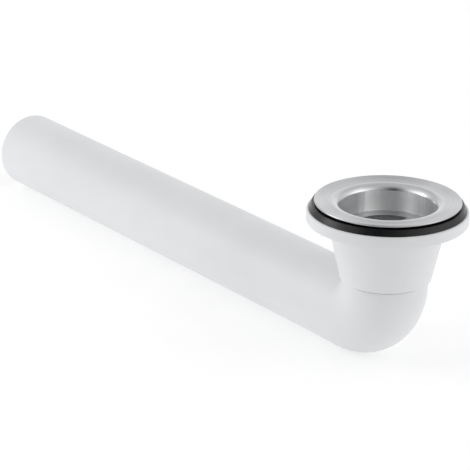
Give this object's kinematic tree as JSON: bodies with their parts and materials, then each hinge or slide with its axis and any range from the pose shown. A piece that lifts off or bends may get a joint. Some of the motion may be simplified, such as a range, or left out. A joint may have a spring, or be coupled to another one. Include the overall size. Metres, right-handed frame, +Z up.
{
  "type": "trap connection bend",
  "caption": "White plastic sink waste bend: flange and funnel neck with a rubber seal and a steel waste flange, turning into a long straight spigot that leads to a trap.",
  "frame": {"origin": "on the inlet axis, in the clamping plane where the steel flange's flat seat meets the seal", "axes": "+Z up along the inlet, -X along the spigot, towards its open end"},
  "size_m": [0.3515, 0.077, 0.0829],
  "materials": {
    "white_plastic": "satin moulded polypropylene",
    "black_rubber": "matt moulded rubber",
    "brushed_stainless": "brushed on the rim, polished on the lip"
  },
  "bodies": {
    "root": {"connection_bend": "white_plastic", "flange_seal": "black_rubber", "waste_flange": "brushed_stainless", "waste_strainer": "brushed_stainless"}
  },
  "joints": []
}
